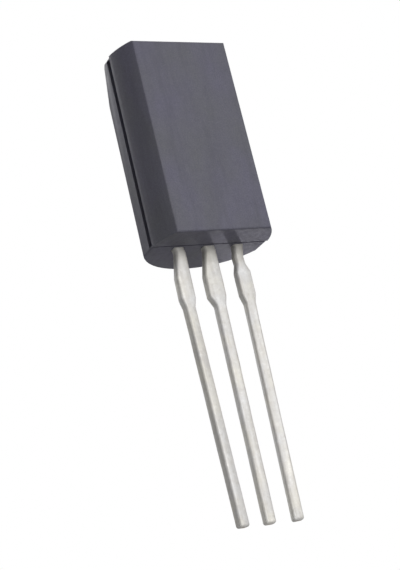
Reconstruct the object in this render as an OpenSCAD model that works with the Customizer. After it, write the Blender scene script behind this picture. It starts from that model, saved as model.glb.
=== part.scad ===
// Three-lead moulded voltage regulator for through-hole boards.
// Origin: middle lead, on the underside of the body, in the parting plane.
// +Z runs up the body, -Y faces the flat marking side, +X is to the right of it.

/* [Moulded body] */
// Width across the parting line
body_w = 4.9; // [4.5:0.05:5.2]
// Height from the underside to the top
body_h = 8.0; // [7.6:0.05:8.5]
// Width of the flat marking face
face_w = 3.9; // [3.4:0.05:4.2]
// Depth from the parting line to the marking face
front_d = 1.4; // [1.3:0.05:1.7]
// Bulge of each side of the front half, over a straight line from the face to the groove
side_bulge = 0.08; // [0.02:0.01:0.12]
// Depth from the parting line to the crown of the back
back_d = 2.4; // [2.0:0.05:2.5]
// Radius of the curved back
back_r = 2.65; // [2.5:0.05:3.2]
// How far each side of the back half is set in from the front half
back_set = 0.03; // [0.01:0.01:0.06]
// Fillet round the top and bottom of the back half
back_fillet = 0.06; // [0.03:0.01:0.15]
// Height of the tapered top of the curved back
taper_h = 1.7; // [1:0.1:2.5]
// How far the taper brings the curved back in at the top
taper_in = 0.13; // [0.05:0.01:0.2]
// Fillet round the marking face
face_fillet = 0.1; // [0.05:0.01:0.15]
// Mould draft of the top and bottom of the front half, in degrees
end_draft = 1; // [0.5:0.5:4]

/* [Parting groove] */
// Reach of the groove in front of the parting line
groove_front = 0.12; // [0.08:0.01:0.15]
// Reach of the side grooves behind the parting line
groove_back = 0.2; // [0.1:0.01:0.25]
// Depth of the groove at the sides
groove_side_d = 0.14; // [0.05:0.01:0.2]
// Height of the land that closes each end of a side groove
groove_land = 0.08; // [0.07:0.01:0.2]
// Width of the groove across the top and bottom
groove_end_w = 0.07; // [0.04:0.01:0.1]
// Depth of the groove across the top and bottom
groove_end_d = 0.05; // [0.03:0.01:0.1]

/* [Leads] */
// Distance between neighbouring leads
pitch = 1.27; // [1.2:0.01:1.3]
// Thickness of the leadframe strip
lead_t = 0.38; // [0.3:0.01:0.42]
// Width of the thin part of each lead
lead_w = 0.44; // [0.36:0.01:0.5]
// Length of each lead below the body
lead_l = 10.65; // [10:0.05:14]
// Distance from the parting plane back to the front of the leadframe
lead_set = 0.05; // [0.02:0.01:0.15]
// Width of the outer leads where they leave the body
outer_neck_w = 0.42; // [0.36:0.01:0.48]
// Width of the middle lead where it leaves the body
middle_neck_w = 0.47; // [0.4:0.01:0.52]
// Width of the shoulder on the outer leads
outer_shoulder_w = 0.65; // [0.55:0.01:0.75]
// Width of the shoulder on the middle lead
middle_shoulder_w = 0.75; // [0.6:0.01:0.8]
// Depth below the body at which the neck starts to widen
neck_end = 0.75; // [0.5:0.05:0.85]
// Depth below the body at which the shoulder is at full width
shoulder_start = 1.05; // [0.95:0.05:1.3]
// Depth below the body at which the shoulder starts to narrow
shoulder_end = 2; // [1.5:0.05:2.15]
// Depth below the body at which the lead is thin again
taper_end = 2.35; // [2.25:0.05:2.6]
// Chamfer at the sides of each cut tip
tip_chamfer = 0.06; // [0.02:0.01:0.1]

/* [Set of the leads] */
// Sideways set of the left lead's shoulder
left_jog = -0.08; // [-0.2:0.005:0.2]
// Sideways set of the middle lead's shoulder
middle_jog = -0.105; // [-0.2:0.005:0.2]
// Sideways set of the right lead's shoulder
right_jog = -0.07; // [-0.2:0.005:0.2]
// Sideways set of the left lead just below its shoulder
left_bend = -0.07; // [-0.2:0.005:0.2]
// Sideways set of the middle lead just below its shoulder
middle_bend = -0.05; // [-0.2:0.005:0.2]
// Sideways set of the right lead just below its shoulder
right_bend = -0.06; // [-0.2:0.005:0.2]
// Sideways set of the left lead's tip
left_lean = 0.11; // [-0.4:0.005:0.4]
// Sideways set of the middle lead's tip
middle_lean = -0.08; // [-0.4:0.005:0.4]
// Sideways set of the right lead's tip
right_lean = -0.195; // [-0.4:0.005:0.4]
// Backward set of all three tips
back_lean = 0.2; // [0:0.01:0.8]

/* [Leadframe inside the body] */
// Width of the paddle that carries the die
paddle_w = 2.3; // [1.8:0.05:2.6]
// Height of the paddle
paddle_h = 3.3; // [2.6:0.05:3.5]
// Height of the paddle's lower edge above the underside
paddle_z = 3.1; // [2.9:0.05:3.3]
// Width of the bond post on each outer lead
post_w = 0.95; // [0.8:0.05:1]
// Height of each bond post
post_h = 0.9; // [0.7:0.05:1]
// Gap between the bond posts and the paddle
post_gap = 0.4; // [0.3:0.05:0.6]
// Diameter of the locking hole near the top of the paddle
lock_hole_d = 0.6; // [0.4:0.05:0.8]

/* [Regulator die] */
// Width of the die
die_w = 1.2; // [0.9:0.05:1.4]
// Height of the die
die_h = 1.3; // [1.0:0.05:1.5]
// Thickness of the die
die_t = 0.25; // [0.2:0.01:0.3]
// Thickness of the attach layer under the die
attach_t = 0.03; // [0.02:0.01:0.05]
// How far the attach layer reaches past the die
attach_rim = 0.06; // [0.02:0.01:0.1]
// Height of the die's lower edge above the paddle's lower edge
die_rise = 0.4; // [0.3:0.05:0.6]

/* [Bond wires] */
// Diameter of each bond wire
wire_d = 0.05; // [0.03:0.01:0.06]
// Diameter of the ball that joins a wire to the die
ball_d = 0.12; // [0.1:0.01:0.14]
// Height of the ball
ball_h = 0.03; // [0.02:0.01:0.04]
// Straight rise of a wire above the die before it arches over
wire_rise = 0.1; // [0.08:0.01:0.15]
// Distance from the die's edges to the centres of its bond pads
pad_inset = 0.15; // [0.12:0.01:0.2]

/* [Hidden] */

$fn = 64;
// Overshoot of a cutting tool past the surface that it cuts
over = 1;

back_w = body_w - 2 * back_set;
back_r_y = back_d - back_r;
back_front = groove_end_w - groove_front;
// Run of a front side across and back, from the face to the groove, and the radius of its bulge
side_run = [(body_w - face_w) / 2, front_d - groove_front];
side_r = (side_run * side_run) / (8 * side_bulge) + side_bulge / 2;

frame_back = lead_set + lead_t;
left_set = [left_jog, left_bend, left_lean];
middle_set = [middle_jog, middle_bend, middle_lean];
right_set = [right_jog, right_bend, right_lean];
die_z = paddle_z + die_rise;
die_back = lead_set - attach_t;
die_front = die_back - die_t;
post_top = paddle_z - post_gap;
post_bottom = post_top - post_h;
// The outer edge of each post lines up with the paddle's side, moved out by half the spare width
post_x = pitch + (post_w - outer_neck_w) / 4;
arch_y = die_front - ball_h - wire_rise;

// Points of an arc of radius r about c, from angle a0 to a1, in n steps
function arc(c, r, a0, a1, n = 8) =
    [for (i = [0:n]) let (a = a0 + (a1 - a0) * i / n) [c.x + r * cos(a), c.y + r * sin(a)]];

// ---- Moulded body ----

// Plan of the front half: flat face, bulging sides and two rounded corners
module front_plan() {
    start = [face_w / 2, -front_d];
    chord = norm(side_run);
    along = side_run / chord;
    out = [along.y, -along.x];
    centre = start + side_run / 2 - out * (side_r - side_bulge);
    // The corner's arc touches the face and the bulge, so its centre is one radius inside both
    corner_y = -front_d + face_fillet;
    reach = side_r - face_fillet;
    corner_x = centre.x + sqrt(reach * reach - (corner_y - centre.y) * (corner_y - centre.y));
    turn = atan2(corner_y - centre.y, corner_x - centre.x);
    end = start + side_run;
    right = concat(
        arc([corner_x, corner_y], face_fillet, -90, turn),
        arc(centre, side_r, turn, atan2(end.y - centre.y, end.x - centre.x))
    );
    left = [for (i = [len(right) - 1:-1:0]) [-right[i].x, right[i].y]];
    polygon(concat(left, right));
}

// Side view of the front half, as [y, z]: drafted top and bottom, rounded where they meet the face
module front_side() {
    rise = side_run.y * tan(end_draft);
    low = [-front_d + face_fillet, rise + face_fillet];
    high = [low.x, body_h - low.y];
    polygon(concat(
        [[-groove_front, 0], [-groove_front, body_h]],
        arc(high, face_fillet, 90 + end_draft, 180),
        arc(low, face_fillet, 180, 270 - end_draft)
    ));
}

module front_half() {
    intersection() {
        linear_extrude(body_h) front_plan();
        along_x(body_w) front_side();
    }
}

// Extrudes a [y, z] profile along X, centred on the part's middle
module along_x(length) {
    translate([-length / 2, 0, 0]) rotate([90, 0, 90]) linear_extrude(length) children();
}

// Extrudes an [x, z] outline along Y, from y0 back by depth
module along_y(y0, depth) {
    translate([0, y0 + depth, 0]) rotate([90, 0, 0]) linear_extrude(depth) children();
}

// Points round the right-hand end of a rectangle w/2 wide from its middle and h high, corners
// rounded by r, and drawn in by taper at the top
function filleted_end(w, h, r, taper) = concat(
    arc([w / 2 - r, r], r, -90, 0),
    taper > 0 ? [[w / 2, h - taper_h]] : [],
    arc([w / 2 - taper - r, h - r], r, 0, 90)
);

// The curved back with its tapered top, between two flat side walls
module back_half() {
    end = filleted_end(back_w, body_h, back_fillet, 0);
    other_end = [for (i = [len(end) - 1:-1:0]) [-end[i].x, end[i].y]];
    intersection() {
        translate([0, back_r_y, 0]) rotate_extrude($fn = 128)
            polygon(concat([[0, 0]], filleted_end(2 * back_r, body_h, back_fillet, taper_in), [[0, body_h]]));
        along_y(back_front, back_d + over) polygon(concat(end, other_end));
    }
}

// The web left between the two halves at the bottom of the groove
module groove_floor() {
    w = body_w - 2 * groove_side_d;
    translate([-w / 2, -groove_front - over / 2, groove_end_d])
        cube([w, groove_end_w + over, body_h - 2 * groove_end_d]);
}

// What the side grooves take out of the back half's walls
module side_grooves() {
    for (side = [-1, 1])
        translate([side * (body_w / 2 - groove_side_d + over / 2) - over / 2, -groove_front, groove_land])
            cube([over, groove_front + groove_back, body_h - 2 * groove_land]);
}

module moulded_body() {
    color("#6b6973")
    difference() {
        union() {
            front_half();
            groove_floor();
            back_half();
        }
        side_grooves();
        outer_lead_shape(-1, left_set);
        middle_lead_shape();
        outer_lead_shape(1, right_set);
        attach_shape();
        die_shape();
        output_wire_shape();
        ground_wire_shape();
        input_wire_shape();
    }
}

// ---- Leads ----

// Front outline of one lead, as [x, z], from its tip up to rise inside the body. set gives how far
// its shoulder, the start of its thin part and its tip stand to the side of x
module lead_outline(x, set, neck_w, shoulder_w, rise) {
    // Depth below the body, half width there and sideways place of the middle
    stations = [
        [-rise, neck_w / 2, x],
        [0, neck_w / 2, x],
        [neck_end, neck_w / 2, x + set[0] * neck_end / shoulder_start],
        [shoulder_start, shoulder_w / 2, x + set[0]],
        [shoulder_end, shoulder_w / 2, x + set[0]],
        [taper_end, lead_w / 2, x + set[1]],
        [lead_l - tip_chamfer, lead_w / 2, x + set[2]],
        [lead_l, lead_w / 2 - tip_chamfer, x + set[2]]
    ];
    right = [for (s = stations) [s[2] + s[1], -s[0]]];
    left = [for (i = [len(stations) - 1:-1:0]) let (s = stations[i]) [s[2] - s[1], -s[0]]];
    polygon(concat(right, left));
}

// Side view of the leadframe strip, as [y, z]: straight in the body and set back below it
module strip_side() {
    polygon([
        [lead_set, body_h], [lead_set, 0], [lead_set + back_lean, -lead_l],
        [frame_back + back_lean, -lead_l], [frame_back, 0], [frame_back, body_h]
    ]);
}

// One stamped lead: its own outline joined to the flag that it carries inside
module lead_shape(x, set, neck_w, shoulder_w, rise) {
    intersection() {
        union() {
            along_y(0, back_d) lead_outline(x, set, neck_w, shoulder_w, rise);
            along_y(0, back_d) children();
        }
        along_x(2 * body_w) strip_side();
    }
}

module post_outline(x) {
    translate([x - post_w / 2, post_bottom]) square([post_w, post_h]);
}

module paddle_outline() {
    difference() {
        translate([-paddle_w / 2, paddle_z]) square([paddle_w, paddle_h]);
        translate([0, paddle_z + paddle_h - lock_hole_d]) circle(d = lock_hole_d);
    }
}

// An outer lead with its bond post, on the left for side -1 and on the right for side 1
module outer_lead_shape(side, set) {
    lead_shape(side * pitch, set, outer_neck_w, outer_shoulder_w, post_bottom + post_h / 2)
        post_outline(side * post_x);
}

module middle_lead_shape() {
    lead_shape(0, middle_set, middle_neck_w, middle_shoulder_w, paddle_z + paddle_h / 2)
        paddle_outline();
}

module output_lead() {
    color("#cfccc4") outer_lead_shape(-1, left_set);
}

module ground_lead() {
    color("#cfccc4") middle_lead_shape();
}

module input_lead() {
    color("#cfccc4") outer_lead_shape(1, right_set);
}

// ---- Die ----

module attach_shape() {
    translate([-die_w / 2 - attach_rim, die_back, die_z - attach_rim])
        cube([die_w + 2 * attach_rim, attach_t, die_h + 2 * attach_rim]);
}

module die_shape() {
    translate([-die_w / 2, die_front, die_z]) cube([die_w, die_t, die_h]);
}

module die_attach() {
    color("#b8b8bc") attach_shape();
}

module regulator_die() {
    color("#5d6470") die_shape();
}

// ---- Bond wires ----

// A wire from a ball at a on the die to b on the leadframe, both as [x, z], arched towards the face
module wire_shape(a, b) {
    span = norm(b - a);
    turn = atan2(b.y - a.y, b.x - a.x);
    translate([a.x, arch_y, a.y]) rotate([0, -turn, 0]) {
        translate([span / 2, 0, 0]) intersection() {
            rotate_extrude() translate([span / 2, 0]) circle(d = wire_d, $fn = 24);
            translate([-span, -span, -over / 2]) cube([2 * span, span, over]);
        }
        leg(die_front - arch_y, wire_d);
        translate([0, wire_rise, 0]) leg(ball_h, ball_d);
        translate([span, 0, 0]) leg(lead_set - arch_y, wire_d);
    }
}

// A round pillar that runs back from the arch's plane
module leg(length, d) {
    rotate([-90, 0, 0]) cylinder(h = length, d = d, $fn = 24);
}

module output_wire_shape() {
    wire_shape([-die_w / 2 + pad_inset, die_z + pad_inset], [-post_x, post_top - post_h / 2]);
}

module ground_wire_shape() {
    wire_shape([0, die_z + die_h - pad_inset], [0, die_z + die_h + 2 * attach_rim + pad_inset]);
}

module input_wire_shape() {
    wire_shape([die_w / 2 - pad_inset, die_z + pad_inset], [post_x, post_top - post_h / 2]);
}

module bond_wire_output() {
    color("#d9a441") output_wire_shape();
}

module bond_wire_ground() {
    color("#d9a441") ground_wire_shape();
}

module bond_wire_input() {
    color("#d9a441") input_wire_shape();
}

moulded_body();
output_lead();
ground_lead();
input_lead();
regulator_die();
die_attach();
bond_wire_output();
bond_wire_ground();
bond_wire_input();
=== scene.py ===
"""A tall three-lead moulded voltage regulator, dressed and lit on a pale floor."""
import math

import bmesh
import bpy
from mathutils import Matrix, Vector


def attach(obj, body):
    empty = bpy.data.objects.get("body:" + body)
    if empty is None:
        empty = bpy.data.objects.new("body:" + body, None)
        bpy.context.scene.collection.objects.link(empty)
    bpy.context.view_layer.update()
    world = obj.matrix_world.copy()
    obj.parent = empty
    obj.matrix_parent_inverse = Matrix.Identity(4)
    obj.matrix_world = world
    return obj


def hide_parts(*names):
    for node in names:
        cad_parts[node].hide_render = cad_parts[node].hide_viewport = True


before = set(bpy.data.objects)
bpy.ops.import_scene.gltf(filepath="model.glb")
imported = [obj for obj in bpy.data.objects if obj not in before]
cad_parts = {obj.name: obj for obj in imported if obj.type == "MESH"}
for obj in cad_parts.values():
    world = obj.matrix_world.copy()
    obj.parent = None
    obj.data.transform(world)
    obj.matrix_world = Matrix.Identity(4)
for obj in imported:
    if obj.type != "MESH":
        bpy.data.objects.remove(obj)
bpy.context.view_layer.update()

MM = 0.001

# ---- Camera: where it stands, seen from the middle lead on the underside of the body ----
CAMERA_AZIMUTH = math.radians(28.79)     # to the left of the marking face
CAMERA_DROP = math.radians(17.62)        # below the body, looking up
CAMERA_ROLL = math.radians(-13.465)
CAMERA_DISTANCE = 50.14 * MM
CAMERA_ASIDE = (0.375 * MM, 1.504 * MM)  # the part's offset right and up from the optical axis
CAMERA_CLIP = (1 * MM, 10.0)
FOCAL_PIXELS = 1332
FRAME_HEIGHT_PIXELS = 570
SENSOR_HEIGHT = 36

# ---- Leads, as the leadframe is stamped ----
PITCH = 1.27                     # in mm, like all that LEADS holds
STRIP_SET = 0.05 * MM            # parting plane to the front of the strip
STRIP_THICKNESS = 0.38 * MM
THIN_WIDTH = 0.42 * MM
LEADS = {                        # sizes and sideways sets in mm, twist in degrees
    "output_lead": {
        "Place": -PITCH, "Neck width": 0.42, "Neck end": 0.0, "Neck bend": 0.2, "Neck set": 0.045,
        "Shoulder width": 0.6, "Shoulder start": 1.15, "Shoulder set": -0.055,
        "Bar set": -0.06, "Tip set": 0.12, "Twist": 9.0, "Length": 10.57,
    },
    "ground_lead": {
        "Place": 0.0, "Neck width": 0.47, "Neck end": 0.0, "Neck bend": 0.14, "Neck set": 0.025,
        "Shoulder width": 0.7, "Shoulder start": 1.15, "Shoulder set": -0.09,
        "Bar set": -0.04, "Tip set": -0.07, "Twist": -3.0, "Length": 10.61,
    },
    "input_lead": {
        "Place": PITCH, "Neck width": 0.43, "Neck end": 0.78, "Neck bend": 0.5, "Neck set": -0.09,
        "Shoulder width": 0.615, "Shoulder start": 1.1, "Shoulder set": -0.05,
        "Bar set": -0.045, "Tip set": -0.185, "Twist": -12.0, "Length": 10.65,
    },
}
BACK_LEAN = 0.2 * MM
SHOULDER_END = 2.0 * MM
TAPER_END = 2.35 * MM
TWIST_RUN = 0.6 * MM             # below the taper, to where a lead is fully turned
MOUTH_START = -0.05 * MM         # where the corners start to round off as the lead leaves the body
MOUTH_END = 0.1 * MM             # and where they have done so, and the coat starts to swell
COAT_FULL = 0.8 * MM             # where the coat is at its most uneven
BAR_RISE = 0.5 * MM              # how far the formed bar reaches up into the moulding
FLAG_CUT = 0.3 * MM              # how high in the moulding the flat strip takes over from the bar
FLAG_PROUD = 0.002 * MM          # how far that strip stands over the bar, front and back
TIP_ROUND = 0.095 * MM
TIP_CLEAR = TIP_ROUND * 1.2      # the rounding needs plain sides this far from the end
LEAD_CREASE = 40                 # degrees, past which an edge of a lead stays crisp
HAIR = 0.001                     # a step on the unit circle that a section is drawn from

# ---- Parting groove of the moulding, by its lips on the outside ----
BODY_HEIGHT = 8.0 * MM
FRONT_LIP = -0.12 * MM           # where the front half ends, all round
SIDE_LIP = 0.2 * MM              # where the back half begins, at the sides
END_LIP = -0.05 * MM             # where the back half begins, across the top and bottom
LIP_NEAR = 0.002 * MM            # a point this close to a lip's plane is on it
FLANK = 2.37 * MM                # further out than this is the side of the body
END_NEAR = 0.02 * MM             # closer than this to the top or underside is its end
LIP_ANGLE = math.radians(25)     # the lips are sharper than this
LIP_ROUND = 0.045 * MM
BODY_CREASE = 32                 # degrees, past which an edge of the body stays crisp

# ---- Mesh cleaning ----
MERGE = 0.0005 * MM              # points closer than this are one
SLIVER = 0.0001 * MM             # an edge shorter than this is a fault
FLAT_ANGLE = math.radians(0.3)   # faces that meet at less are one flat

# ---- Studio ----
FLOOR_GREY = (0.42, 0.42, 0.42)
FLOOR_WHITE = 0.6                # share of plain white in the floor as seen
CARD_BLACK = (0.015, 0.015, 0.015)
MATT = 0.9                       # roughness of the floor and the card
AMBIENT = 0.15
WHITE = (1, 1, 1, 1)


# ---------------------------------------------------------------- shared helpers

def new_object(name, mesh):
    obj = bpy.data.objects.new(name, mesh)
    bpy.context.scene.collection.objects.link(obj)
    return obj


def copy_of_node(node, name):
    """A merged copy of a CAD node, with its flat faces in one piece each."""
    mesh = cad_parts[node].data.copy()
    mesh.materials.clear()
    work = bmesh.new()
    work.from_mesh(mesh)
    bmesh.ops.remove_doubles(work, verts=work.verts, dist=MERGE)
    bmesh.ops.dissolve_limit(work, angle_limit=FLAT_ANGLE, verts=work.verts, edges=work.edges)
    work.to_mesh(mesh)
    work.free()
    return new_object(name, mesh)


def shade(obj, angle):
    """Smooth shading that stays crisp over edges sharper than the angle, in degrees."""
    mesh = obj.data
    mesh.polygons.foreach_set("use_smooth", [True] * len(mesh.polygons))
    mesh.set_sharp_from_angle(angle=math.radians(angle))


def baked(obj):
    """Turns an object's modifiers into plain mesh, in place."""
    graph = bpy.context.evaluated_depsgraph_get()
    mesh = bpy.data.meshes.new_from_object(obj.evaluated_get(graph))
    old = obj.data
    obj.modifiers.clear()
    obj.data = mesh
    mesh.name = obj.name
    bpy.data.meshes.remove(old)
    return obj


def without_slivers(obj):
    """Collapses the shortest edges, and the faces that they close."""
    work = bmesh.new()
    work.from_mesh(obj.data)
    bmesh.ops.dissolve_degenerate(work, dist=SLIVER, edges=work.edges)
    work.to_mesh(obj.data)
    work.free()


class Nodes:
    """A node tree under construction."""

    def __init__(self, tree):
        self.tree = tree

    def add(self, kind, **settings):
        node = self.tree.nodes.new(kind)
        for name, value in settings.items():
            setattr(node, name, value)
        return node

    def plug(self, value, socket):
        """Feeds an input from an output, or sets it to a plain value."""
        if isinstance(value, bpy.types.NodeSocket):
            self.tree.links.new(value, socket)
        else:
            socket.default_value = value

    def math(self, operation, *values):
        node = self.add("ShaderNodeMath", operation=operation)
        for value, socket in zip(values, node.inputs):
            self.plug(value, socket)
        return node.outputs[0]

    def fit(self, value, low, high, to_low, to_high):
        """Moves the range from low to high onto the one from to_low to to_high, and stays in it."""
        node = self.add("ShaderNodeMapRange", clamp=True)
        for item, socket in zip((value, low, high, to_low, to_high), node.inputs):
            self.plug(item, socket)
        return node.outputs[0]


# ---------------------------------------------------------------- materials

class Shader(Nodes):
    """A node material under construction, with coordinates in millimetres."""

    def __init__(self, name):
        self.material = bpy.data.materials.new(name)
        self.material.use_nodes = True
        super().__init__(self.material.node_tree)
        self.surface = self.tree.nodes["Principled BSDF"]
        place = self.add("ShaderNodeTexCoord")
        self.in_mm = self.scaled(place.outputs["Object"], (1000, 1000, 1000))

    def scaled(self, coordinates, scale):
        node = self.add("ShaderNodeMapping")
        node.inputs["Scale"].default_value = scale
        self.plug(coordinates, node.inputs["Vector"])
        return node.outputs[0]

    def stretched(self, scale):
        """Coordinates stretched by the reciprocal of scale along each axis."""
        return self.scaled(self.in_mm, scale)

    def noise(self, scale, detail=3.0, roughness=0.5, at=None):
        node = self.add("ShaderNodeTexNoise")
        node.inputs["Scale"].default_value = scale
        node.inputs["Detail"].default_value = detail
        node.inputs["Roughness"].default_value = roughness
        self.plug(at or self.in_mm, node.inputs["Vector"])
        return node.outputs[0]

    def blend(self, amount, first, second):
        """Mixes two colours, each a colour or a socket."""
        node = self.add("ShaderNodeMix", data_type="RGBA")
        for value, place in ((amount, 0), (first, 6), (second, 7)):
            self.plug(value, node.inputs[place])
        return node.outputs[2]

    def height(self):
        """The height along the part, in millimetres."""
        node = self.add("ShaderNodeSeparateXYZ")
        self.plug(self.in_mm, node.inputs[0])
        return node.outputs[2]

    def bump(self, height, distance_mm, strength, under=None):
        node = self.add("ShaderNodeBump")
        node.inputs["Strength"].default_value = strength
        node.inputs["Distance"].default_value = distance_mm * MM
        self.plug(height, node.inputs["Height"])
        if under is not None:
            self.plug(under, node.inputs["Normal"])
        return node.outputs[0]

    def finish(self, colour, roughness, normal=None, metallic=0.0, gloss=0.5):
        self.surface.inputs["Metallic"].default_value = metallic
        self.surface.inputs["Specular IOR Level"].default_value = gloss
        self.plug(colour, self.surface.inputs["Base Color"])
        self.plug(roughness, self.surface.inputs["Roughness"])
        if normal is not None:
            self.plug(normal, self.surface.inputs["Normal"])
        return self.material


def moulding_compound():
    """Silica-filled epoxy, fine matt from the mould, with flow marks and pale filler grains."""
    grey = (0.132, 0.133, 0.152, 1)
    violet = (0.138, 0.133, 0.186, 1)
    hazed = (0.155, 0.153, 0.185, 1)
    smeared = (0.088, 0.087, 0.108, 1)
    resin = (0.09, 0.089, 0.116, 1)
    silica = (0.24, 0.235, 0.26, 1)

    s = Shader("moulding_compound")
    flow = s.noise(0.6, detail=4.0, at=s.stretched((1.0, 1.0, 0.6)))
    tone = s.blend(s.fit(flow, 0.36, 0.62, 0.0, 1.0), grey, violet)
    haze = s.noise(1.7, detail=5.0, roughness=0.6)
    tone = s.blend(s.fit(haze, 0.3, 0.7, 0.0, 0.3), tone, hazed)
    smear = s.noise(2.6, detail=4.0, roughness=0.6, at=s.stretched((1.0, 1.0, 0.12)))
    tone = s.blend(s.fit(smear, 0.48, 0.7, 0.0, 0.4), tone, smeared)
    grain = s.noise(22.0, detail=2.0)
    tone = s.blend(s.fit(grain, 0.35, 0.65, 0.0, 0.45), tone, resin)
    filler = s.noise(38.0, detail=1.0)
    tone = s.blend(s.fit(filler, 0.68, 0.74, 0.0, 0.5), tone, silica)
    roughness = s.fit(s.noise(6.0, detail=4.0), 0.3, 0.7, 0.54, 0.66)
    orange_peel = s.bump(s.noise(4.5, detail=2.0), 0.012, 0.35)
    mould_grain = s.bump(s.math("ADD", grain, filler), 0.004, 0.5, under=orange_peel)
    return s.finish(tone, roughness, mould_grain, gloss=0.3)


def tinned_copper():
    """Dull tin plating over stamped copper: cloudy, finely speckled, with drawn streaks down the
    lead, and darker over the neck next to the moulding: a thin bleed of resin and painted shade of
    the body."""
    dull_tin = (0.56, 0.545, 0.52, 1)
    clean_tin = (0.64, 0.63, 0.615, 1)
    drawn_mark = (0.52, 0.485, 0.44, 1)
    warm_stain = (0.76, 0.735, 0.64, 1)
    cool_stain = (0.70, 0.72, 0.76, 1)
    dark_speck = (0.50, 0.48, 0.44, 1)
    bright_speck = (0.86, 0.855, 0.84, 1)
    # Darker tone over the neck: a thin resin bleed, and painted shade of the body over it
    resin_and_painted_shade = (0.39, 0.375, 0.335, 1)
    dark_neck_end, dark_neck_start = -1.05, -0.45   # heights in mm

    s = Shader("tinned_copper")
    cloud = s.noise(1.6, detail=4.0, at=s.stretched((1.0, 1.0, 0.35)))
    tone = s.blend(s.fit(cloud, 0.35, 0.65, 0.0, 1.0), dull_tin, clean_tin)
    streak = s.noise(9.0, detail=4.0, at=s.stretched((1.0, 1.0, 0.035)))
    tone = s.blend(s.fit(streak, 0.44, 0.66, 0.0, 0.32), tone, drawn_mark)
    stain = s.noise(1.1, detail=3.0)
    tone = s.blend(s.fit(stain, 0.5, 0.7, 0.0, 0.4), tone, warm_stain)
    tone = s.blend(s.fit(stain, 0.5, 0.3, 0.0, 0.3), tone, cool_stain)
    speckle = s.noise(7.0, detail=3.0, roughness=0.6)
    tone = s.blend(s.fit(speckle, 0.54, 0.72, 0.0, 0.5), tone, dark_speck)
    tone = s.blend(s.fit(speckle, 0.46, 0.26, 0.0, 0.35), tone, bright_speck)
    # Painted shade: the neck is darkened towards the moulding, where the body shades it, along with
    # a thin resin bleed
    near_body = s.fit(s.height(), dark_neck_end, dark_neck_start, 0.0, 1.0)
    neck_darkening = s.math("ADD", near_body, s.noise(3.2, detail=3.0))
    tone = s.blend(s.fit(neck_darkening, 0.95, 1.5, 0.0, 0.5), tone, resin_and_painted_shade)
    roughness = s.fit(s.math("ADD", cloud, streak), 0.7, 1.3, 0.5, 0.66)
    dents = s.bump(s.noise(2.8, detail=2.0), 0.03, 0.3)
    pits = s.bump(speckle, 0.012, 0.5, under=dents)
    drawn = s.bump(streak, 0.005, 0.35, under=pits)
    return s.finish(tone, roughness, drawn, metallic=0.4)


def bare_copper_cut():
    """The sheared end of a lead: copper smeared over with tin."""
    copper = (0.42, 0.33, 0.26, 1)
    smeared_tin = (0.56, 0.50, 0.44, 1)
    s = Shader("bare_copper_cut")
    shear = s.noise(14.0, detail=3.0, at=s.stretched((1.0, 0.15, 1.0)))
    tone = s.blend(s.fit(shear, 0.35, 0.65, 0.0, 1.0), copper, smeared_tin)
    roughness = s.fit(shear, 0.3, 0.7, 0.4, 0.6)
    return s.finish(tone, roughness, s.bump(shear, 0.01, 0.5), metallic=1.0)


def polished_silicon():
    blue_grey = (0.26, 0.29, 0.34, 1)
    pale_grey = (0.34, 0.35, 0.38, 1)
    s = Shader("silicon")
    lot = s.noise(3.0, detail=2.0)
    tone = s.blend(s.fit(lot, 0.35, 0.65, 0.0, 1.0), blue_grey, pale_grey)
    return s.finish(tone, s.fit(lot, 0.3, 0.7, 0.18, 0.3), metallic=0.8)


def silver_paste():
    dark_flake = (0.50, 0.50, 0.51, 1)
    bright_flake = (0.70, 0.70, 0.71, 1)
    s = Shader("attach_silver")
    flakes = s.noise(30.0, detail=3.0)
    tone = s.blend(s.fit(flakes, 0.35, 0.65, 0.0, 1.0), dark_flake, bright_flake)
    roughness = s.fit(flakes, 0.3, 0.7, 0.5, 0.7)
    return s.finish(tone, roughness, s.bump(flakes, 0.004, 0.5), metallic=0.7)


def drawn_gold():
    deep_gold = (0.80, 0.56, 0.20, 1)
    pale_gold = (0.90, 0.68, 0.32, 1)
    s = Shader("gold_wire")
    draw = s.noise(60.0, detail=2.0)
    tone = s.blend(s.fit(draw, 0.35, 0.65, 0.0, 1.0), deep_gold, pale_gold)
    return s.finish(tone, s.fit(draw, 0.3, 0.7, 0.18, 0.3), metallic=1.0)


# ---------------------------------------------------------------- moulded body

def on_lip(vertex):
    """True on the outer lips of the parting groove."""
    x, y, z = vertex.co
    at_side = abs(x) > FLANK
    at_end = min(abs(z), abs(z - BODY_HEIGHT)) < END_NEAR
    lips = ((FRONT_LIP, at_side or at_end), (SIDE_LIP, at_side), (END_LIP, at_end))
    return any(there and abs(y - lip) < LIP_NEAR for lip, there in lips)


def make_body():
    """The moulding, with the lips of its parting groove rounded."""
    body = copy_of_node("moulded_body", "epoxy_moulding")
    work = bmesh.new()
    work.from_mesh(body.data)
    weight = work.edges.layers.float.new("bevel_weight_edge")
    for edge in work.edges:
        sharp = edge.is_manifold and edge.calc_face_angle(0.0) >= LIP_ANGLE
        if sharp and all(on_lip(v) for v in edge.verts):
            edge[weight] = 1.0
    work.to_mesh(body.data)
    work.free()
    bevel = body.modifiers.new("mould_edge", "BEVEL")
    bevel.limit_method = "WEIGHT"
    bevel.width = LIP_ROUND
    bevel.segments = 3
    bevel.harden_normals = False
    body = baked(body)
    without_slivers(body)
    body.data.materials.append(moulding_compound())
    shade(body, BODY_CREASE)
    return body


# ---------------------------------------------------------------- leads

def in_metres(sizes):
    """The sizes of a lead in metres, with its twist still in degrees."""
    return {label: value if label == "Twist" else value * MM for label, value in sizes.items()}


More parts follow.
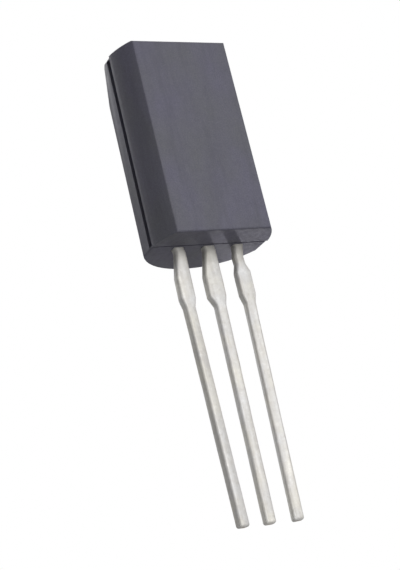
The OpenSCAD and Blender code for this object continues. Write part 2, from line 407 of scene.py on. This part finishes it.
class Form(Nodes):
    """A geometry node tree under construction, with named inputs."""

    def __init__(self, name, inputs):
        super().__init__(bpy.data.node_groups.new(name, "GeometryNodeTree"))
        sockets = self.tree.interface
        for label, default in inputs.items():
            kind = "NodeSocketInt" if isinstance(default, int) else "NodeSocketFloat"
            socket = sockets.new_socket(name=label, in_out="INPUT", socket_type=kind)
            socket.default_value = default
        sockets.new_socket(name="Geometry", in_out="OUTPUT", socket_type="NodeSocketGeometry")
        self.given = self.add("NodeGroupInput")
        self.result = self.add("NodeGroupOutput")

    def input(self, label):
        return self.given.outputs[label]

    def inputs(self, *labels):
        return [self.input(label) for label in labels]

    def vector(self, x, y, z=0.0):
        node = self.add("ShaderNodeCombineXYZ")
        for value, socket in zip((x, y, z), node.inputs):
            self.plug(value, socket)
        return node.outputs[0]

    def ramp(self, depth, start, end, height):
        """Rises in a straight line from 0 at start to height at end, and stays there."""
        return self.fit(depth, start, end, 0.0, height)

    def profile(self, depth, first, *spans):
        """A size that is first at the top, then runs in straight lines from one size to the next.
        Each span gives the depths where a line starts and ends, and the size it runs to."""
        size = first
        reached = first
        for start, end, following in spans:
            change = self.math("SUBTRACT", following, reached)
            size = self.math("ADD", size, self.ramp(depth, start, end, change))
            reached = following
        return size


def lead_section(t, across, through, depth):
    """A lead's cross-section at a depth, turned by its twist: a rectangle with rounded corners."""
    neck_end, shoulder_start = t.inputs("Neck end", "Shoulder start")
    shoulder_end, taper_end = t.inputs("Shoulder end", "Taper end")
    width = t.profile(
        depth, t.input("Neck width"),
        (neck_end, shoulder_start, t.input("Shoulder width")),
        (shoulder_end, taper_end, t.input("Thin width")))
    radius = t.profile(
        depth, t.input("Body corner"),
        (MOUTH_START, MOUTH_END, t.input("Neck corner")),
        (neck_end, shoulder_start, t.input("Shoulder corner")),
        (shoulder_end, taper_end, t.input("Bar corner")))

    def rounded(unit, size):
        """Moves a point of the unit circle to the outline of the section. A unit coordinate within
        a hair of zero counts as zero, so that each flat gets a middle point."""
        unit = t.math("SNAP", t.math("ADD", unit, HAIR / 2), HAIR)
        reach = t.math("SUBTRACT", t.math("MULTIPLY", size, 0.5), radius)
        return t.math("MULTIPLY_ADD", unit, radius, t.math("MULTIPLY", t.math("SIGN", unit), reach))

    x = rounded(across, width)
    y = rounded(through, t.input("Thickness"))
    turn_end = t.math("ADD", taper_end, TWIST_RUN)
    turn = t.ramp(depth, shoulder_end, turn_end, t.math("RADIANS", t.input("Twist")))
    cos = t.math("COSINE", turn)
    sin = t.math("SINE", turn)
    turned_x = t.math("SUBTRACT", t.math("MULTIPLY", x, cos), t.math("MULTIPLY", y, sin))
    turned_y = t.math("ADD", t.math("MULTIPLY", x, sin), t.math("MULTIPLY", y, cos))
    return turned_x, turned_y


def lead_middle(t, depth):
    """Where the middle of a lead is at a depth: it is set sideways in steps, and leans back."""
    neck_bend, shoulder_start = t.inputs("Neck bend", "Shoulder start")
    shoulder_end, taper_end, length = t.inputs("Shoulder end", "Taper end", "Length")
    sideways = t.profile(
        depth, 0.0,
        (0.0, neck_bend, t.input("Neck set")),
        (neck_bend, shoulder_start, t.input("Shoulder set")),
        (shoulder_end, taper_end, t.input("Bar set")),
        (taper_end, length, t.input("Tip set")))
    strip = t.math("ADD", t.input("Strip set"), t.math("MULTIPLY", t.input("Thickness"), 0.5))
    lean = t.ramp(depth, 0.0, length, t.input("Back lean"))
    return t.math("ADD", t.input("Place"), sideways), t.math("ADD", strip, lean)


def coat_swell(t, formed, depth):
    """How far the dipped tin coat stands out at a point, a little uneven below the body."""
    in_mm = t.add("ShaderNodeVectorMath", operation="SCALE")
    t.plug(formed, in_mm.inputs[0])
    in_mm.inputs["Scale"].default_value = 1000.0
    coat = t.add("ShaderNodeTexNoise", noise_dimensions="4D")
    t.plug(in_mm.outputs[0], coat.inputs["Vector"])
    t.plug(t.input("Seed"), coat.inputs["W"])
    coat.inputs["Scale"].default_value = 0.9
    most = t.math("MULTIPLY", t.input("Coat unevenness"), 2.0)
    reach = t.ramp(depth, MOUTH_END, COAT_FULL, most)
    return t.math("MULTIPLY", t.math("SUBTRACT", coat.outputs[0], 0.5), reach)


def lead_tree(material):
    """A formed lead: a rounded strip whose width, place and turn are rules of its depth."""
    t = Form("formed_lead", {
        "Sides": 32, "Steps": 260, "Rise": BAR_RISE,
        "Strip set": STRIP_SET, "Thickness": STRIP_THICKNESS, "Thin width": THIN_WIDTH,
        "Shoulder end": SHOULDER_END, "Taper end": TAPER_END, "Back lean": BACK_LEAN,
        **in_metres(LEADS["ground_lead"]),
        "Body corner": 0.09 * MM, "Neck corner": 0.15 * MM,
        "Shoulder corner": 0.09 * MM, "Bar corner": 0.1 * MM,
        "Coat unevenness": 0.012 * MM, "Seed": 1.0,
    })
    bar = t.add("GeometryNodeMeshCylinder", fill_type="NGON")
    t.plug(t.input("Sides"), bar.inputs["Vertices"])
    t.plug(t.input("Steps"), bar.inputs["Side Segments"])
    bar.inputs["Radius"].default_value = 1.0
    bar.inputs["Depth"].default_value = 1.0

    place = t.add("ShaderNodeSeparateXYZ")
    t.plug(t.add("GeometryNodeInputPosition").outputs[0], place.inputs[0])
    across, through, up = place.outputs
    rise = t.input("Rise")
    full = t.math("ADD", t.input("Length"), rise)
    depth = t.math("SUBTRACT", t.math("MULTIPLY", t.math("SUBTRACT", 0.5, up), full), rise)

    section_x, section_y = lead_section(t, across, through, depth)
    middle_x, middle_y = lead_middle(t, depth)
    formed = t.vector(
        t.math("ADD", middle_x, section_x), t.math("ADD", middle_y, section_y),
        t.math("MULTIPLY", depth, -1.0))
    swell = coat_swell(t, formed, depth)
    out = t.vector(t.math("MULTIPLY", across, swell), t.math("MULTIPLY", through, swell))

    move = t.add("GeometryNodeSetPosition")
    t.plug(bar.outputs["Mesh"], move.inputs["Geometry"])
    t.plug(formed, move.inputs["Position"])
    t.plug(out, move.inputs["Offset"])
    real = t.add("GeometryNodeRealizeInstances")
    t.plug(move.outputs[0], real.inputs[0])
    tin = t.add("GeometryNodeSetMaterial")
    tin.inputs["Material"].default_value = material
    t.plug(real.outputs[0], tin.inputs["Geometry"])
    t.plug(tin.outputs[0], t.result.inputs[0])
    return t.tree


def grown(tree, name, values):
    """The plain mesh that a node tree makes from the given inputs."""
    obj = new_object(name, bpy.data.meshes.new(name))
    modifier = obj.modifiers.new("form", "NODES")
    modifier.node_group = tree
    sockets = {item.name: item.identifier for item in tree.interface.items_tree
               if item.in_out == "INPUT"}
    for label, value in values.items():
        modifier[sockets[label]] = value
    return baked(obj)


def round_tip(obj, tin, cut):
    """Rounds the rim of the sheared end and gives the end face its own finish."""
    obj.data.materials.clear()
    obj.data.materials.append(tin)
    obj.data.materials.append(cut)
    work = bmesh.new()
    work.from_mesh(obj.data)
    bmesh.ops.remove_doubles(work, verts=work.verts, dist=MERGE)
    caps = [f for f in work.faces if len(f.verts) > 4]
    end = min(caps, key=lambda f: f.calc_center_median().z)
    end_z = end.calc_center_median().z
    rings = [e for e in work.edges if e.verts[0].co.z == e.verts[1].co.z
             and 2 * MERGE < e.verts[0].co.z - end_z < TIP_CLEAR]
    bmesh.ops.dissolve_edges(work, edges=rings, use_verts=True)
    end.material_index = 1
    bmesh.ops.bevel(
        work, geom=list(end.edges), offset=TIP_ROUND, segments=5, profile=0.5, affect="EDGES")
    bmesh.ops.recalc_face_normals(work, faces=work.faces)
    work.to_mesh(obj.data)
    work.free()


def flag_inside(node, name):
    """The part of a CAD lead that lies in the moulding, cut just above the underside, closed, and
    a hair thicker than the bar that it joins."""
    flag = copy_of_node(node, name)
    work = bmesh.new()
    work.from_mesh(flag.data)
    cut = bmesh.ops.bisect_plane(
        work, geom=list(work.verts) + list(work.edges) + list(work.faces),
        plane_co=(0, 0, FLAG_CUT), plane_no=(0, 0, 1), clear_inner=True)
    rim = [e for e in cut["geom_cut"] if isinstance(e, bmesh.types.BMEdge)]
    bmesh.ops.holes_fill(work, edges=rim)
    bmesh.ops.recalc_face_normals(work, faces=work.faces)
    middle = STRIP_SET + STRIP_THICKNESS / 2
    for vertex in work.verts:
        vertex.co.y += math.copysign(FLAG_PROUD, vertex.co.y - middle)
    work.to_mesh(flag.data)
    work.free()
    return flag


def make_lead(node, tree, tin, cut, seed):
    """The formed bar outside the moulding, joined to the flat strip inside it."""
    lead = grown(tree, "tinned_" + node, {"Seed": float(seed), **in_metres(LEADS[node])})
    round_tip(lead, tin, cut)
    flag = flag_inside(node, node + "_flag")
    flag.data.materials.append(tin)
    join = lead.modifiers.new("flag", "BOOLEAN")
    join.operation = "UNION"
    join.solver = "EXACT"
    join.object = flag
    lead = baked(lead)
    bpy.data.objects.remove(flag)
    shade(lead, LEAD_CREASE)
    return lead


# ---------------------------------------------------------------- the part

def dress_part():
    body = make_body()
    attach(body, "root")
    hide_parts("moulded_body")

    tin = tinned_copper()
    cut = bare_copper_cut()
    tree = lead_tree(tin)
    for seed, node in enumerate(LEADS):
        lead = make_lead(node, tree, tin, cut, seed)
        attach(lead, "root")
        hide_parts(node)

    gold = drawn_gold()
    inner = {
        "regulator_die": polished_silicon(), "die_attach": silver_paste(),
        "bond_wire_output": gold, "bond_wire_ground": gold, "bond_wire_input": gold,
    }
    for node, material in inner.items():
        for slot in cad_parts[node].material_slots:
            slot.material = material


# ---------------------------------------------------------------- studio

def make_camera():
    cos_drop = math.cos(CAMERA_DROP)
    forward = Vector((
        math.sin(CAMERA_AZIMUTH) * cos_drop,
        math.cos(CAMERA_AZIMUTH) * cos_drop,
        math.sin(CAMERA_DROP)))
    level = forward.cross(Vector((0, 0, 1))).normalized()
    above = level.cross(forward)
    cos_roll = math.cos(CAMERA_ROLL)
    sin_roll = math.sin(CAMERA_ROLL)
    right = cos_roll * level + sin_roll * above
    up = cos_roll * above - sin_roll * level
    place = -CAMERA_DISTANCE * forward - CAMERA_ASIDE[0] * right - CAMERA_ASIDE[1] * up
    data = bpy.data.cameras.new("product_camera")
    data.sensor_fit = "VERTICAL"
    data.sensor_height = SENSOR_HEIGHT
    data.lens = FOCAL_PIXELS / FRAME_HEIGHT_PIXELS * SENSOR_HEIGHT
    data.clip_start, data.clip_end = CAMERA_CLIP
    camera = new_object("product_camera", data)
    turn = Matrix((right, up, -forward)).transposed()
    camera.matrix_world = Matrix.Translation(place) @ turn.to_4x4()
    bpy.context.scene.camera = camera


def facing(place, target):
    """The turn that points -Z from a place to a target."""
    return (target - place).to_track_quat("-Z", "Y").to_matrix()


def area_light(name, place_mm, size_mm, power, target_mm=(0, 0, 2), spread=180.0, colour=(1, 1, 1)):
    """A rectangular lamp of so many watts, with its spread in degrees."""
    data = bpy.data.lights.new(name, "AREA")
    data.shape = "RECTANGLE"
    data.size = size_mm[0] * MM
    data.size_y = size_mm[1] * MM
    data.energy = power
    data.color = colour
    data.spread = math.radians(spread)
    light = new_object(name, data)
    light.visible_camera = False
    place = Vector(place_mm) * MM
    turn = facing(place, Vector(target_mm) * MM)
    light.matrix_world = Matrix.Translation(place) @ turn.to_4x4()


def where_seen(n):
    """1 for the rays that see a surface, camera, glossy and transmission, and 0 for those that
    light."""
    path = n.add("ShaderNodeLightPath")
    seen = path.outputs["Is Camera Ray"]
    for other in ("Is Glossy Ray", "Is Transmission Ray"):
        seen = n.math("MAXIMUM", seen, path.outputs[other])
    return seen


def mixed(n, share, first, second):
    """Two surfaces or backgrounds in one."""
    mix = n.add("ShaderNodeMixShader")
    for value, socket in zip((share, first, second), mix.inputs):
        n.plug(value, socket)
    return mix.outputs[0]


def make_world():
    """Even air that lights a little, and is plain white where it is seen."""
    world = bpy.data.worlds.new("studio_air")
    bpy.context.scene.world = world
    world.use_nodes = True
    world.node_tree.nodes.clear()
    n = Nodes(world.node_tree)

    def air(strength):
        node = n.add("ShaderNodeBackground")
        node.inputs["Color"].default_value = WHITE
        node.inputs["Strength"].default_value = strength
        return node.outputs[0]

    out = n.add("ShaderNodeOutputWorld")
    n.plug(mixed(n, where_seen(n), air(AMBIENT), air(1.0)), out.inputs["Surface"])


def plain_material(name, colour):
    material = bpy.data.materials.new(name)
    material.use_nodes = True
    surface = material.node_tree.nodes["Principled BSDF"]
    surface.inputs["Base Color"].default_value = (*colour, 1)
    surface.inputs["Roughness"].default_value = MATT
    return material


def floor_material():
    """A pale floor that shows mostly white where it is seen, and still takes shadows."""
    material = plain_material("pale_floor", FLOOR_GREY)
    n = Nodes(material.node_tree)
    share = n.math("MULTIPLY", where_seen(n), FLOOR_WHITE)
    painted = n.tree.nodes["Principled BSDF"].outputs[0]
    white = n.add("ShaderNodeEmission").outputs[0]
    n.plug(mixed(n, share, painted, white), n.tree.nodes["Material Output"].inputs["Surface"])
    return material


def panel(name, place_mm, size_mm, material):
    """A flat rectangular card that faces the part."""
    place = Vector(place_mm) * MM
    turn = facing(place, target=Vector((0, 0, 0)))
    w = size_mm[0] * MM / 2
    h = size_mm[1] * MM / 2
    corners = [place + turn @ Vector(c) for c in ((-w, -h, 0), (w, -h, 0), (w, h, 0), (-w, h, 0))]
    mesh = bpy.data.meshes.new(name)
    mesh.from_pydata(corners, [], [(0, 3, 2, 1)])
    mesh.materials.append(material)
    card = new_object(name, mesh)
    return card


def make_stage():
    panel("pale_floor", place_mm=(0, 0, -60), size_mm=(4000, 4000), material=floor_material())
    # The black card darkens reflections, and blocks or bounces no light
    black = plain_material("black_card", CARD_BLACK)
    card = panel("card_left", place_mm=(-190, 60, 80), size_mm=(150, 220), material=black)
    card.visible_camera = False
    card.visible_diffuse = False
    card.visible_shadow = False
    card.visible_transmission = False


def make_lights():
    area_light("key_front", place_mm=(52, -286, 37), size_mm=(200, 135), power=0.525)
    area_light(
        "under_right_back", place_mm=(8.98, 11.5, -4.1), size_mm=(2.7, 1.8), power=1.6e-6,
        target_mm=(1.69, 0.3, 0), spread=6.0, colour=(0.90, 0.88, 1.0))
    area_light("rim_left_back", place_mm=(-35, 140, 140), size_mm=(90, 60), power=0.21)


dress_part()
make_camera()
make_world()
make_stage()
make_lights()
bpy.context.scene.view_settings.view_transform = "Standard"
